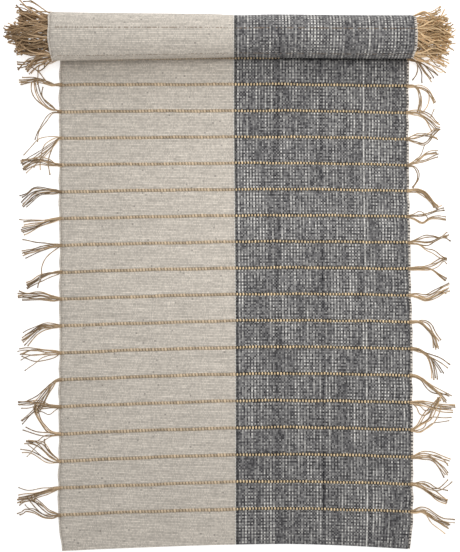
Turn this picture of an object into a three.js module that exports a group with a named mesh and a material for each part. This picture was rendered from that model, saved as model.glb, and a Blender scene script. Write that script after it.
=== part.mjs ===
// Flat-woven runner rug, laid out flat at the front and rolled up, face inwards, at the far end.
// One cloth is woven in two halves, natural cotton and grey melange, each with its own selvedge.
// Bundles of jute yarn are laid in across the whole width and stick out on both sides as tassels.
// Millimetres. +X runs across the rug to the grey side, +Y from the free front edge to the roll,
// +Z up. The underside lies on z = 0, and the origin is the bottom centre of the whole object.
import * as THREE from 'three';

// Cloth
const CREAM_WIDTH = 375;          // natural half, its selvedge included
const GREY_WIDTH = 375;           // melange half, its selvedge included
const RUG_LENGTH = 2450;          // whole cloth, measured along the cloth
const CLOTH_THICKNESS = 4;
const CREAM_SELVEDGE_WIDTH = 5;
const GREY_SELVEDGE_WIDTH = 6;
const PIECE_GAP = 0.3;            // between neighbouring bands of the cloth
const EDGE_CHAMFER = 1;           // softened corners of the two end edges

// Roll
const FLAT_LENGTH = 1066;         // front edge to the line where the roll rests on the floor
const CORE_RADIUS = 7.8;          // hole down the middle of the roll, at the loose end
const TURN_GAP = 0.7;             // air between two turns
const TURN_STEP = Math.PI / 12;   // length of one facet of the roll, as an angle

// Jute
const INLAY_COUNT = 42;
const FRONT_MARGIN = 77;          // front edge to the middle of the first inlay
const CORE_MARGIN = 65;           // middle of the last inlay to the loose end
const INLAY_WIDTH = 5.2;          // along the cloth
const CLOTH_UNDER_INLAY = 0.9;    // cloth left behind a groove
const INLAY_FIT = 0.4;            // clearance beside and under an inlay
const TASSEL_LENGTH = 95;         // from the selvedge to the tips
const TASSEL_NECK = 6;            // first stretch, still as tight as the inlay
const TASSEL_SPREAD = 22;         // width over the tips, on the flat cloth
const TASSEL_TIP_HEIGHT = 3.4;    // thickness at the tips, on the flat cloth
const TASSEL_SWEEP = 20;          // drift of the tips towards the front edge
const FLOOR_CLEARANCE = 0.3;      // under tassels that have come down to the floor
const BRUSH_SPREAD = 1.22;        // the tassels of the roll open out front to back
const BRUSH_DROOP = 0.92;         // and sink a little

const TURN_PITCH = CLOTH_THICKNESS + TURN_GAP;
const ROLLED_LENGTH = RUG_LENGTH - FLAT_LENGTH;
const MID_RADIUS = Math.sqrt(      // of the middle of the cloth, where the roll starts
  (CORE_RADIUS + CLOTH_THICKNESS / 2) ** 2 + (TURN_PITCH * ROLLED_LENGTH) / Math.PI);
const ROLL_RADIUS = MID_RADIUS + CLOTH_THICKNESS / 2;
const INLAY_PITCH = (RUG_LENGTH - FRONT_MARGIN - CORE_MARGIN) / (INLAY_COUNT - 1);
const GROOVE_HALF = INLAY_WIDTH / 2 + INLAY_FIT;
const GROOVE_DEPTH = CLOTH_THICKNESS - CLOTH_UNDER_INLAY;
const INLAY_DEPTH = GROOVE_DEPTH - INLAY_FIT;

const COTTON = new THREE.MeshStandardMaterial({ color: 0xbdb4a8, roughness: 0.95, metalness: 0 });
const COTTON_EDGE = new THREE.MeshStandardMaterial({ color: 0xb4aa9c, roughness: 0.95, metalness: 0 });
const MELANGE = new THREE.MeshStandardMaterial({ color: 0x6f6d6e, roughness: 0.95, metalness: 0 });
const MELANGE_EDGE = new THREE.MeshStandardMaterial({ color: 0x9c958c, roughness: 0.95, metalness: 0 });
const JUTE = new THREE.MeshStandardMaterial({ color: 0xb08c5c, roughness: 0.9, metalness: 0 });

// Turn reached by a length of cloth past the resting line, measured at mid thickness.
function turnAt(length) {
  const shrink = TURN_PITCH / (2 * Math.PI);
  return (MID_RADIUS - Math.sqrt(MID_RADIUS ** 2 - 2 * shrink * length)) / shrink;
}

// Length of cloth past the resting line that reaches a given turn.
function lengthAt(turn) {
  return MID_RADIUS * turn - (TURN_PITCH * turn * turn) / (4 * Math.PI);
}

// Place in the YZ plane of a point of the cloth: along it, and below its face.
function clothPoint(along, depth) {
  if (along <= FLAT_LENGTH) return [along, CLOTH_THICKNESS - depth];
  const turn = turnAt(along - FLAT_LENGTH);
  const radius = ROLL_RADIUS - (TURN_PITCH * turn) / (2 * Math.PI) - CLOTH_THICKNESS + depth;
  return [FLAT_LENGTH + radius * Math.sin(turn), ROLL_RADIUS - radius * Math.cos(turn)];
}

// Middle of each inlay, along the cloth.
function inlayPositions() {
  return Array.from({ length: INLAY_COUNT }, (_, i) => FRONT_MARGIN + i * INLAY_PITCH);
}

// Facet corners of the roll, along the cloth.
function rollStations() {
  const last = turnAt(ROLLED_LENGTH);
  const stations = [];
  for (let turn = 0; turn < last - TURN_STEP / 3; turn += TURN_STEP) {
    stations.push(FLAT_LENGTH + lengthAt(turn));
  }
  return stations;
}

// Points of the cloth's face from the front edge to the core, down and up through each groove.
function facePoints(stations) {
  const grooves = inlayPositions();
  const clearOfGrooves = (s) => grooves.every((g) => Math.abs(s - g) > GROOVE_HALF + EDGE_CHAMFER);
  const points = stations.filter(clearOfGrooves).map((s) => [s, 0]);
  for (const g of grooves) {
    const [from, to] = [g - GROOVE_HALF, g + GROOVE_HALF];
    points.push([from, 0], [from, GROOVE_DEPTH], [to, GROOVE_DEPTH], [to, 0]);
  }
  return points.sort((a, b) => a[0] - b[0]);
}

// Section of the cloth, with its back down and softened corners at both end edges.
function clothShape() {
  const stations = rollStations();
  const outline = [
    [EDGE_CHAMFER, CLOTH_THICKNESS],
    ...stations.map((s) => [s, CLOTH_THICKNESS]),
    [RUG_LENGTH - EDGE_CHAMFER, CLOTH_THICKNESS],
    [RUG_LENGTH, CLOTH_THICKNESS - EDGE_CHAMFER],
    [RUG_LENGTH, EDGE_CHAMFER],
    [RUG_LENGTH - EDGE_CHAMFER, 0],
    ...facePoints(stations).reverse(),
    [EDGE_CHAMFER, 0],
    [0, EDGE_CHAMFER],
    [0, CLOTH_THICKNESS - EDGE_CHAMFER],
  ];
  return new THREE.Shape(outline.map(([s, depth]) => new THREE.Vector2(...clothPoint(s, depth))));
}

// Stands a drawn section up in the YZ plane, with its depth along X.
const SECTION_TO_RUG = new THREE.Matrix4().makeBasis(
  new THREE.Vector3(0, 1, 0), new THREE.Vector3(0, 0, 1), new THREE.Vector3(1, 0, 0));

// One band of the cloth between two places across the rug.
function clothBand(name, shape, fromX, toX, material) {
  const geometry = new THREE.ExtrudeGeometry(shape, { depth: toX - fromX, bevelEnabled: false });
  const band = named(name, geometry, material);
  band.quaternion.setFromRotationMatrix(SECTION_TO_RUG);
  band.position.x = fromX;
  return band;
}

// Closed body through four-cornered sections that stand across X.
function loft(sections) {
  const corners = sections.flatMap(({ x, ring }) => ring.map(([y, z]) => [x, y, z]));
  const faces = [];
  for (let i = 0; i < sections.length - 1; i++) {
    for (let k = 0; k < 4; k++) {
      const [a, b] = [4 * i + k, 4 * i + ((k + 1) % 4)];
      faces.push([a, b, b + 4], [a, b + 4, a + 4]);
    }
  }
  const last = 4 * (sections.length - 1);
  faces.push([0, 2, 1], [0, 3, 2], [last, last + 1, last + 2], [last, last + 2, last + 3]);
  const geometry = new THREE.BufferGeometry();
  const positions = faces.flatMap((face) => face.flatMap((index) => corners[index]));
  geometry.setAttribute('position', new THREE.Float32BufferAttribute(positions, 3));
  geometry.computeVertexNormals();
  return geometry;
}

// Section of an inlay lying in its groove.
function inlayRing(along) {
  const half = INLAY_WIDTH / 2;
  return [
    clothPoint(along - half, INLAY_DEPTH), clothPoint(along + half, INLAY_DEPTH),
    clothPoint(along + half, 0), clothPoint(along - half, 0),
  ];
}

// Section of a tassel on the floor; share runs from 0 at the selvedge to 1 at the tips.
function floorRing(along, share) {
  const half = (INLAY_WIDTH + (TASSEL_SPREAD - INLAY_WIDTH) * share) / 2;
  const middle = along - TASSEL_SWEEP * share * share;
  const bottom = (CLOTH_THICKNESS - INLAY_DEPTH) * (1 - share) + FLOOR_CLEARANCE * share;
  const top = bottom + INLAY_DEPTH + (TASSEL_TIP_HEIGHT - INLAY_DEPTH) * share;
  return [[middle - half, bottom], [middle + half, bottom], [middle + half, top], [middle - half, top]];
}

// Section of a tassel at the end of the roll, opened out front to back and let down.
function brushRing(along, share) {
  const spread = 1 + (BRUSH_SPREAD - 1) * share;
  const droop = 1 + (BRUSH_DROOP - 1) * share;
  return inlayRing(along).map(([y, z]) => [FLAT_LENGTH + (y - FLAT_LENGTH) * spread, z * droop]);
}

// Jute bundle through the whole width, with a tassel beyond each selvedge.
function juteInlay(name, along) {
  const rolled = along > FLAT_LENGTH - ROLL_RADIUS;
  const tasselRing = rolled ? brushRing : floorRing;
  const shares = [0.45, 1];
  const reach = (share) => TASSEL_NECK + (TASSEL_LENGTH - TASSEL_NECK) * share;
  const sections = [
    ...shares.toReversed().map((s) => ({ x: -CREAM_WIDTH - reach(s), ring: tasselRing(along, s) })),
    { x: -CREAM_WIDTH - TASSEL_NECK, ring: inlayRing(along) },
    { x: GREY_WIDTH + TASSEL_NECK, ring: inlayRing(along) },
    ...shares.map((s) => ({ x: GREY_WIDTH + reach(s), ring: tasselRing(along, s) })),
  ];
  return named(name, loft(sections), JUTE);
}

function named(name, geometry, material) {
  const mesh = new THREE.Mesh(geometry, material);
  mesh.name = name;
  return mesh;
}

// The woven cloth: two fields that meet down the middle, and a selvedge along each side.
function cloth() {
  const shape = clothShape();
  const half = PIECE_GAP / 2;
  const creamEdge = -CREAM_WIDTH + CREAM_SELVEDGE_WIDTH;
  const greyEdge = GREY_WIDTH - GREY_SELVEDGE_WIDTH;
  return new THREE.Group().add(
    clothBand('cream_selvedge', shape, -CREAM_WIDTH, creamEdge - half, COTTON_EDGE),
    clothBand('cream_field', shape, creamEdge + half, -half, COTTON),
    clothBand('grey_field', shape, half, greyEdge - half, MELANGE),
    clothBand('grey_selvedge', shape, greyEdge + half, GREY_WIDTH, MELANGE_EDGE),
  );
}

// The jute bundles, counted from the free front edge to the core of the roll.
function jute() {
  const names = inlayPositions().map((_, i) => `jute_inlay_${String(i + 1).padStart(2, '0')}`);
  return new THREE.Group().add(...inlayPositions().map((s, i) => juteInlay(names[i], s)));
}

// The whole rug, moved so that its bottom centre is the origin.
function runnerRug() {
  const rug = new THREE.Group().add(cloth(), jute());
  rug.name = 'runner_rug';
  const centre = new THREE.Box3().setFromObject(rug, true).getCenter(new THREE.Vector3());
  rug.position.set(-centre.x, -centre.y, 0);
  return rug;
}

export default runnerRug();
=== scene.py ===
"""Looks of a flat-woven runner rug with a natural half, a melange half, jute inlays and tassels.

The cloth lies flat from its free front edge and is wound face inwards into a roll at its far end.
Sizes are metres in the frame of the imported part: +X across to the melange half, +Y along the rug
from the front edge to the roll, +Z up off the floor.
"""
import logging
import math
from dataclasses import dataclass, field
from enum import Enum
from typing import Any, Iterable, Sequence

import bpy
import numpy as np
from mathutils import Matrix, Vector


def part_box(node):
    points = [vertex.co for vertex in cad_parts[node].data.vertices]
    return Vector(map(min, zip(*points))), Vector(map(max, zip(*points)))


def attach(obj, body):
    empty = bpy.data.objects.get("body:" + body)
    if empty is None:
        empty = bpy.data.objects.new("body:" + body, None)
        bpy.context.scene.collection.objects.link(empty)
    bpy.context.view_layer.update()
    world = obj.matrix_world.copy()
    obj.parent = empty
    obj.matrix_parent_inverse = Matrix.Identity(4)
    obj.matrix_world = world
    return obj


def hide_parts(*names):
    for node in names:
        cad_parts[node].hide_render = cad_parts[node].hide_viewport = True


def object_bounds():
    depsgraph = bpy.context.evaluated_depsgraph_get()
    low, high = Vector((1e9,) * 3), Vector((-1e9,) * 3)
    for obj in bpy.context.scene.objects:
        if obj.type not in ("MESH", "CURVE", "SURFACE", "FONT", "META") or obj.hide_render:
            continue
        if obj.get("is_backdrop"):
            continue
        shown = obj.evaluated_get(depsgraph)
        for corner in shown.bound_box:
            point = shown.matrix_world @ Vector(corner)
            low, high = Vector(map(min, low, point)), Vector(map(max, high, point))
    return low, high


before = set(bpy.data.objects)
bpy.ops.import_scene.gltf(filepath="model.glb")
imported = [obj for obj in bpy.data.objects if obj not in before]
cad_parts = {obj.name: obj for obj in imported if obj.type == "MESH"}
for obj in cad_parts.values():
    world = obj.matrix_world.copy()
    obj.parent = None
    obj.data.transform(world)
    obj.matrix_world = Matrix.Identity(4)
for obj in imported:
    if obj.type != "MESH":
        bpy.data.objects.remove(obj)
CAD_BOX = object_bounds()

log = logging.getLogger("runner_rug")
WEAVE_MAP = "weave"
BAKE_MAP = "OFBake"
Socket = bpy.types.NodeSocket
Value = float | Socket


class Side(Enum):
    """The two long sides of the rug, as the sign of X."""

    CREAM = -1
    GREY = 1


# ---------------------------------------------------------------- shape of the cloth


@dataclass(frozen=True)
class ClothShape:
    """How the woven cloth lies, and the place in space of each of its points.

    A point of the cloth is given by its place across the rug, its distance along the cloth from
    the front edge, and its height above the back of the cloth.
    """

    front_y: float
    length: float = 2.450
    flat: float = 1.066
    thickness: float = 0.004
    turn_gap: float = 0.0007
    core_radius: float = 0.0078
    half_width: float = 0.375
    front_margin: float = 0.077
    core_margin: float = 0.065
    inlay_count: int = 42
    bow_centre: float = 0.10
    left_sag: tuple[tuple[float, float], ...] = (
        (0, 0.0150), (0.05, 0.0138), (0.2, 0.0148), (0.42, 0.0132), (0.65, 0.0088), (0.87, 0.0032),
        (1.066, 0.0))
    right_sag: tuple[tuple[float, float], ...] = (
        (0, 0.0110), (0.05, 0.0068), (0.42, 0.0042), (0.55, 0.0026), (0.7, 0.0028), (0.8, 0.0050),
        (0.98, 0.0045), (1.066, 0.0))
    tuck: float = 0.0085
    tuck_reach: float = 0.10
    ripple: float = 0.0013
    uneven: float = 0.0013
    uneven_start: float = 0.17
    uneven_length: float = 0.95
    front_set_back: float = 0.0030
    roll_set_forward: float = 0.0012
    tight: float = 0.955
    loosest: float = 0.12
    seam_dip: float = 0.03
    flat_row_count: int = 18
    groove_half: float = 0.0036
    groove_depth: float = 0.0012
    ridge: float = 0.0004

    @property
    def turn_pitch(self) -> float:
        """Distance between two turns of the roll."""
        return self.thickness + self.turn_gap

    @property
    def mid_radius(self) -> float:
        """Radius of the middle of the cloth where the roll starts."""
        end = self.core_radius + self.thickness / 2
        return math.sqrt(end**2 + self.turn_pitch * (self.length - self.flat) / math.pi)

    @property
    def inlay_pitch(self) -> float:
        """Distance along the cloth between two jute inlays."""
        return (self.length - self.front_margin - self.core_margin) / (self.inlay_count - 1)

    def inlay_along(self, row: int | np.ndarray) -> float | np.ndarray:
        """Distance along the cloth of an inlay, counted from zero at the front edge."""
        return self.front_margin + row * self.inlay_pitch

    def turn_at(self, past: np.ndarray) -> np.ndarray:
        """Angle of the roll reached by a length of cloth past the line where it leaves the floor."""
        shrink = self.turn_pitch / (2 * math.pi)
        inside = np.maximum(self.mid_radius**2 - 2 * shrink * past, 0.0)
        return (self.mid_radius - np.sqrt(inside)) / shrink

    def along_at(self, turn: np.ndarray) -> np.ndarray:
        """Distance along the cloth that reaches an angle of the roll."""
        return self.flat + self.mid_radius * turn - self.turn_pitch * turn**2 / (4 * math.pi)

    def looseness(self, across: np.ndarray) -> np.ndarray:
        """Size of the roll across the rug, as a share: looser at the natural end, tight at the seam."""
        share = np.clip((0.03 - across) / 0.405, 0.0, 1.0) ** 1.2
        seam_dip = self.seam_dip * np.exp(-(((across - 0.01) / 0.04) ** 2))
        return self.tight + self.loosest * share - seam_dip

    def bow(self, across: np.ndarray, along: np.ndarray) -> np.ndarray:
        """How far a weft line sags towards the front edge, most at its two ends."""
        left = np.interp(along, *zip(*self.left_sag))
        right = np.interp(along, *zip(*self.right_sag))
        to_left = np.clip((self.bow_centre - across) / (self.half_width + self.bow_centre), 0, 1.2)
        to_right = np.clip((across - self.bow_centre) / (self.half_width - self.bow_centre), 0, 1.2)
        return left * to_left**1.5 + right * to_right**1.5

    def edge_wander(self, across: np.ndarray, along: np.ndarray) -> np.ndarray:
        """Sideways wander of the cloth: uneven edges, tucked-in front corners, a slight drift."""
        share = across / self.half_width
        beat = 2 * math.pi * (along - self.front_margin) / self.inlay_pitch
        phase = np.where(across < 0, 0.4, 2.1)
        wave = (0.0007 * np.cos(beat) + 0.0005 * np.sin(along * 143 + phase)
                + 0.0006 * np.sin(along * 31 + 2 * phase))
        tucked = self.tuck * np.clip(1 - along / self.tuck_reach, 0, 1) ** 2
        drift = 0.0015 - 0.0035 * smooth(along, 0.45, 0.95)
        rolled = smooth(along, self.flat, self.flat + 0.06)
        widened = rolled * (0.0015 * smooth(across, 0.1, 0.37) - 0.007 * smooth(-across, 0.1, 0.37))
        narrowed = -0.0018 * smooth(across, 0.1, 0.37) * smooth(along, 0.45, 0.6) * (
            1 - smooth(along, 0.85, 0.95))
        return share * np.abs(share) ** 3 * -(wave + tucked) + drift + widened + narrowed

    def place(self, across: np.ndarray, along: np.ndarray, height: np.ndarray) -> np.ndarray:
        """Places points of the cloth.

        Args:
            across: place across the rug, from -half_width to half_width.
            along: distance along the cloth from the front edge.
            height: height above the back of the cloth.

        Returns:
            One row of x, y, z for each point, shaped as the inputs plus a last axis of three.
        """
        across, along, height = np.broadcast_arrays(across, along, height)
        loose = self.looseness(across)
        shrink = self.turn_pitch / (2 * math.pi)
        turn = self.turn_at(np.maximum(along - self.flat, 0.0))
        outer = self.mid_radius + self.thickness / 2
        radius = loose * (outer - shrink * turn) - height
        beat = 2 * math.pi * (along - self.uneven_start) / self.uneven_length
        uneven = self.uneven * np.sin(beat) * (along < self.uneven_start + self.uneven_length)
        set_back = self.front_set_back * (1 - smooth(along, 0.0, 0.06))
        set_forward = self.roll_set_forward * (1 - smooth(along, 0.9, 1.06))
        flat_y = np.minimum(along, self.flat) + uneven + (set_back - set_forward)
        aside = 0.0026 * smooth(-across, 0.0, 0.37) + 0.0018 * smooth(across, 0.05, 0.3)
        lean = -aside * smooth(along, self.flat - 0.08, self.flat)
        y = self.front_y + flat_y + lean + radius * np.sin(turn) - self.bow(across, along)
        lift = self.ripple * (1 + np.sin(across * 23 + along * 11) * np.cos(along * 17 - across * 5))
        z = loose * outer - radius * np.cos(turn) + lift * (1 - smooth(along, 0.8, 1.0)) / 2
        x = across + self.edge_wander(across, along)
        return np.stack([x, y, z], axis=-1)

    def stations(self, flat_step: float = 0.006, turn_step: float = math.radians(6)) -> np.ndarray:
        """Distances along the cloth at which a strip of it is drawn."""
        last = float(self.turn_at(np.array(self.length - self.flat)))
        rolled = self.along_at(np.arange(0.0, last, turn_step))
        even = np.concatenate([np.arange(0.0, self.flat, flat_step), rolled])
        rim = np.array([0.0, 0.0002, 0.0006, 0.0012, 0.002])
        rows = self.inlay_along(np.arange(self.inlay_count))
        share = np.array([0.0, 0.6, 0.85, 1.0, 1.2])
        groove = rows[:, None] + self.groove_half * np.concatenate([-share[:0:-1], share])[None, :]
        clear = np.abs(even[:, None] - rows[None, :]).min(axis=1) > 1.3 * self.groove_half
        inner = even[clear & (even > 1.5 * rim[-1]) & (even < self.length - 1.5 * rim[-1])]
        return np.sort(np.concatenate([rim, inner, groove.reshape(-1), self.length - rim]))

    def groove_share(self, along: np.ndarray) -> np.ndarray:
        """Depth of the channel that holds an inlay, from 0 beside it to 1 under it."""
        row = np.clip(np.round((along - self.front_margin) / self.inlay_pitch), 0, self.inlay_count - 1)
        off = np.abs(along - self.inlay_along(row))
        return 1 - smooth(off, 0.55 * self.groove_half, 1.05 * self.groove_half)

    def rim_share(self, along: np.ndarray) -> np.ndarray:
        """Share of the full thickness, less at the two rounded end edges."""
        reach = np.clip(np.minimum(along, self.length - along) / 0.002, 0, 1)
        return 0.12 + 0.88 * np.sqrt(1 - (1 - reach) ** 2)


def smooth(value: np.ndarray, start: float, end: float) -> np.ndarray:
    """Smooth step from 0 at start to 1 at end."""
    share = np.clip((value - start) / (end - start), 0.0, 1.0)
    return share * share * (3 - 2 * share)


# ---------------------------------------------------------------- meshes


@dataclass
class PieceMesh:
    """Closed tubes of quads gathered for one piece, with what its yarns look like at each point."""

    name: str
    points: list[np.ndarray] = field(default_factory=list)
    quads: list[np.ndarray] = field(default_factory=list)
    weave: list[np.ndarray] = field(default_factory=list)
    layout: list[np.ndarray] = field(default_factory=list)
    data: dict[str, list[np.ndarray]] = field(default_factory=dict)
    count: int = 0

    def add_tube(self, rings: np.ndarray, weave: np.ndarray | None = None,
                 layout: np.ndarray | None = None, flat_caps: bool = False,
                 **data: np.ndarray | float) -> None:
        """Adds one closed tube through a row of rings.

        Args:
            rings: points, shaped rings by points in a ring by three, clockwise for a viewer
                who looks along the tube from its first ring.
            weave: cloth coordinates, shaped rings by points plus one by two.
            layout: place in the bake, shaped rings less one by points by four corners by two.
            flat_caps: closes the ends as strips across a flattened ring, not as fans.
            data: named values at each point, one number or shaped rings by points.
        """
        rows, columns = rings.shape[:2]
        i, j = np.meshgrid(np.arange(rows - 1), np.arange(columns), indexing="ij")
        k = (j + 1) % columns
        sides = np.stack([i * columns + j, i * columns + k,
                          (i + 1) * columns + k, (i + 1) * columns + j], axis=-1).reshape(-1, 4)
        caps = strip_cap(columns) if flat_caps else fan_cap(columns)
        last = (rows - 1) * columns
        self.points.append(rings.reshape(-1, 3))
        self.quads.append(np.concatenate([sides, caps[:, ::-1], caps + last]) + self.count)
        weave = np.zeros((rows, columns + 1, 2)) if weave is None else weave
        corners = np.stack([weave[i, j], weave[i, j + 1], weave[i + 1, j + 1], weave[i + 1, j]],
                           axis=-2).reshape(-1, 4, 2)
        self.weave.append(np.concatenate(
            [corners, weave[0, caps[:, ::-1]], weave[-1, caps]]))
        if layout is not None:
            ends = np.zeros((2 * len(caps), 4, 2)) + layout[0, 0, 0]
            self.layout.append(np.concatenate([layout.reshape(-1, 4, 2), ends]))
        for key, value in data.items():
            spread = np.broadcast_to(np.asarray(value, float), (rows, columns)).reshape(-1)
            self.data.setdefault(key, []).append(spread)
        self.count += rows * columns

    def build(self, material: bpy.types.Material, slot: str, node: str = "") -> bpy.types.Object:
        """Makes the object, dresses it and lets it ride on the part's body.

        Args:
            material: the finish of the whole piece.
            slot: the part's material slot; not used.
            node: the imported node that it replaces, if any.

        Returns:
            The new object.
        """
        points, quads = np.concatenate(self.points), np.concatenate(self.quads)
        mesh = bpy.data.meshes.new(self.name)
        mesh.vertices.add(len(points))
        mesh.vertices.foreach_set("co", points.astype(np.float32).reshape(-1))
        mesh.loops.add(quads.size)
        mesh.loops.foreach_set("vertex_index", quads.astype(np.int32).reshape(-1))
        mesh.polygons.add(len(quads))
        mesh.polygons.foreach_set("loop_start", np.arange(0, quads.size, 4, dtype=np.int32))
        mesh.update(calc_edges=True)
        mesh.polygons.foreach_set("use_smooth", np.ones(len(quads), bool))
        for key, parts in ((WEAVE_MAP, self.weave), (BAKE_MAP, self.layout)):
            if parts:
                uv = mesh.uv_layers.new(name=key)
                uv.data.foreach_set("uv", np.concatenate(parts).astype(np.float32).reshape(-1))
        for key, parts in self.data.items():
            values = mesh.attributes.new(key, "FLOAT", "POINT")
            values.data.foreach_set("value", np.concatenate(parts).astype(np.float32))
        mesh.validate()
        piece = bpy.data.objects.new(self.name, mesh)
        bpy.context.scene.collection.objects.link(piece)
        mesh.materials.append(material)
        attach(piece, "root")
        if node:
            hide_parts(node)
        return piece


def fan_cap(columns: int) -> np.ndarray:
    """Quads that close a round ring of an even number of points."""
    return np.array([(0, k, k + 1, k + 2) for k in range(1, columns - 2, 2)])


def strip_cap(columns: int) -> np.ndarray:
    """Quads that close a flattened ring, whose second half runs back under its first half."""
    return np.array([(j, j + 1, columns - 2 - j, columns - 1 - j) for j in range(columns // 2 - 1)])


def tube_rings(path: np.ndarray, radius: np.ndarray, sides: int) -> np.ndarray:
    """Rings of a round yarn that follows a path.

    Args:
        path: points of the yarn's middle, one row each.
        radius: yarn radius at each point.
        sides: points in a ring.

    Returns:
        Points shaped path points by sides by three.
    """
    ahead = np.gradient(path, axis=0)
    ahead /= np.linalg.norm(ahead, axis=1, keepdims=True) + 1e-12
    level = np.cross(ahead, np.array([0.0, 0.0, 1.0]))
    level /= np.linalg.norm(level, axis=1, keepdims=True) + 1e-12
    rise = np.cross(level, ahead)
    angle = -np.arange(sides) * 2 * math.pi / sides
    offset = (np.cos(angle)[None, :, None] * level[:, None, :]
              + np.sin(angle)[None, :, None] * rise[:, None, :])
    return path[:, None, :] + offset * np.asarray(radius)[:, None, None]


# ---------------------------------------------------------------- shader graphs


class Graph:
    """Adds shader nodes to one material and wires them up."""

    def __init__(self, name: str) -> None:
        """Starts an empty material with an output and a Principled shader."""
        self.material = bpy.data.materials.new(name)
        self.material.use_nodes = True
        self.tree = self.material.node_tree
        self.tree.nodes.clear()
        self.shader = self.node("ShaderNodeBsdfPrincipled")
        output = self.node("ShaderNodeOutputMaterial")
        self.tree.links.new(self.shader.outputs["BSDF"], output.inputs["Surface"])

    def node(self, kind: str) -> bpy.types.Node:
        """New node of one kind."""
        return self.tree.nodes.new(kind)

    def feed(self, socket: Socket, value: Any) -> None:
        """Links a socket, or sets it to a plain number or colour."""
        if isinstance(value, bpy.types.NodeSocket):
            self.tree.links.new(value, socket)
        else:
            socket.default_value = value

    def math(self, operation: str, first: Value, second: Value = 0.0, third: Value = 0.0) -> Socket:
        """Result of one Math node."""
        node = self.node("ShaderNodeMath")
        node.operation = operation
        for socket, value in zip(node.inputs, (first, second, third)):
            self.feed(socket, value)
        return node.outputs[0]

    def product(self, first: Value, *others: Value) -> Socket:
        """Product of several values."""
        for other in others:
            first = self.math("MULTIPLY", first, other)
        return first

    def cell(self, place: Value, pitch: float) -> Socket:
        """Number of the cell of a pitch that a place lies in."""
        return self.math("FLOOR", self.math("DIVIDE", place, pitch))

    def within(self, value: Value, middle: Value, reach: Value) -> Socket:
        """1 where a value lies within a reach of a middle, else 0."""
        off = self.math("ABSOLUTE", self.math("SUBTRACT", value, middle))
        return self.math("LESS_THAN", off, reach)

    def vector(self, x: Value, y: Value, z: Value = 0.0) -> Socket:
        """Vector of three values."""
        node = self.node("ShaderNodeCombineXYZ")
        for socket, value in zip(node.inputs, (x, y, z)):
            self.feed(socket, value)
        return node.outputs[0]

    def noise(self, x: tuple[Socket, float], y: tuple[Socket, float], z: Value = 0.0,
              detail: float = 1.0) -> Socket:
        """Smooth noise, about 0.3 to 0.7.

        Args:
            x: first place, with the cells of noise for each unit of it.
            y: second place, likewise.
            z: third place, already in cells, which tells two noises apart.
            detail: layers of finer noise.

        Returns:
            The noise.
        """
        node = self.node("ShaderNodeTexNoise")
        cells = [self.math("MULTIPLY", place, density) for place, density in (x, y)]
        self.feed(node.inputs["Vector"], self.vector(*cells, z))
        node.inputs["Scale"].default_value = 1.0
        node.inputs["Detail"].default_value = detail
        return node.outputs["Fac"]

    def chance(self, x: Value, y: Value, z: Value = 0.0) -> Socket:
        """Even random value from 0 to 1 for each triple of numbers."""
        node = self.node("ShaderNodeTexWhiteNoise")
        self.feed(node.inputs["Vector"], self.vector(x, y, z))
        return node.outputs["Value"]

    def mix(self, share: Value, first: Any, second: Any, mode: str = "MIX") -> Socket:
        """Colour between two colours."""
        node = self.node("ShaderNodeMix")
        node.data_type = "RGBA"
        node.blend_type = mode
        self.feed(node.inputs[0], share)
        self.feed(node.inputs[6], first)
        self.feed(node.inputs[7], second)
        return node.outputs[2]

    def ramp(self, value: Socket, stops: Sequence[tuple[float, tuple[float, ...]]]) -> Socket:
        """Colour read from a ramp of stops."""
        node = self.node("ShaderNodeValToRGB")
        elements = node.color_ramp.elements
        while len(elements) < len(stops):
            elements.new(0.5)
        for element, (place, colour) in zip(elements, stops):
            element.position = place
            element.color = colour
        self.feed(node.inputs[0], value)
        return node.outputs["Color"]

    def scaled(self, colour: Any, factor: Socket) -> Socket:
        """Colour made lighter or darker by a factor."""
        node = self.node("ShaderNodeVectorMath")
        node.operation = "SCALE"
        self.feed(node.inputs[0], colour[:3] if isinstance(colour, tuple) else colour)
        self.feed(node.inputs["Scale"], factor)
        return node.outputs[0]

    def weave(self) -> tuple[Socket, Socket]:
        """Places across and along the cloth, in metres."""
        uv = self.node("ShaderNodeUVMap")
        uv.uv_map = WEAVE_MAP
        parts = self.node("ShaderNodeSeparateXYZ")
        self.tree.links.new(uv.outputs[0], parts.inputs[0])
        return parts.outputs[0], parts.outputs[1]

    def data(self, name: str) -> Socket:
        """Named value stored at the points of the piece."""
        node = self.node("ShaderNodeAttribute")
        node.attribute_name = name
        return node.outputs["Fac"]

    def around(self, value: Socket, middle: float, spread: float) -> Socket:
        """Turns noise about 0.5 into a factor about a middle."""
        return self.math("MULTIPLY_ADD", value, spread, middle - spread / 2)

    def finish(self, colour: Socket, height: Socket, relief: float, roughness: Value) -> bpy.types.Material:
        """Wires colour, relief and roughness to the shader.

        Args:
            colour: base colour.
            height: surface height from 0 to 1.
            relief: height of the relief in metres.
            roughness: surface roughness.

        Returns:
            The finished material.
        """
        bump = self.node("ShaderNodeBump")
        bump.inputs["Strength"].default_value = 1.0
        bump.inputs["Distance"].default_value = relief
        self.feed(bump.inputs["Height"], height)
        self.feed(self.shader.inputs["Normal"], bump.outputs[0])
        self.feed(self.shader.inputs["Base Color"], colour)
        self.feed(self.shader.inputs["Roughness"], roughness)
        self.shader.inputs["Specular IOR Level"].default_value = 0.12
        self.shader.inputs["Sheen Weight"].default_value = 0.06
        self.shader.inputs["Sheen Roughness"].default_value = 0.6
        return self.material


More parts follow.
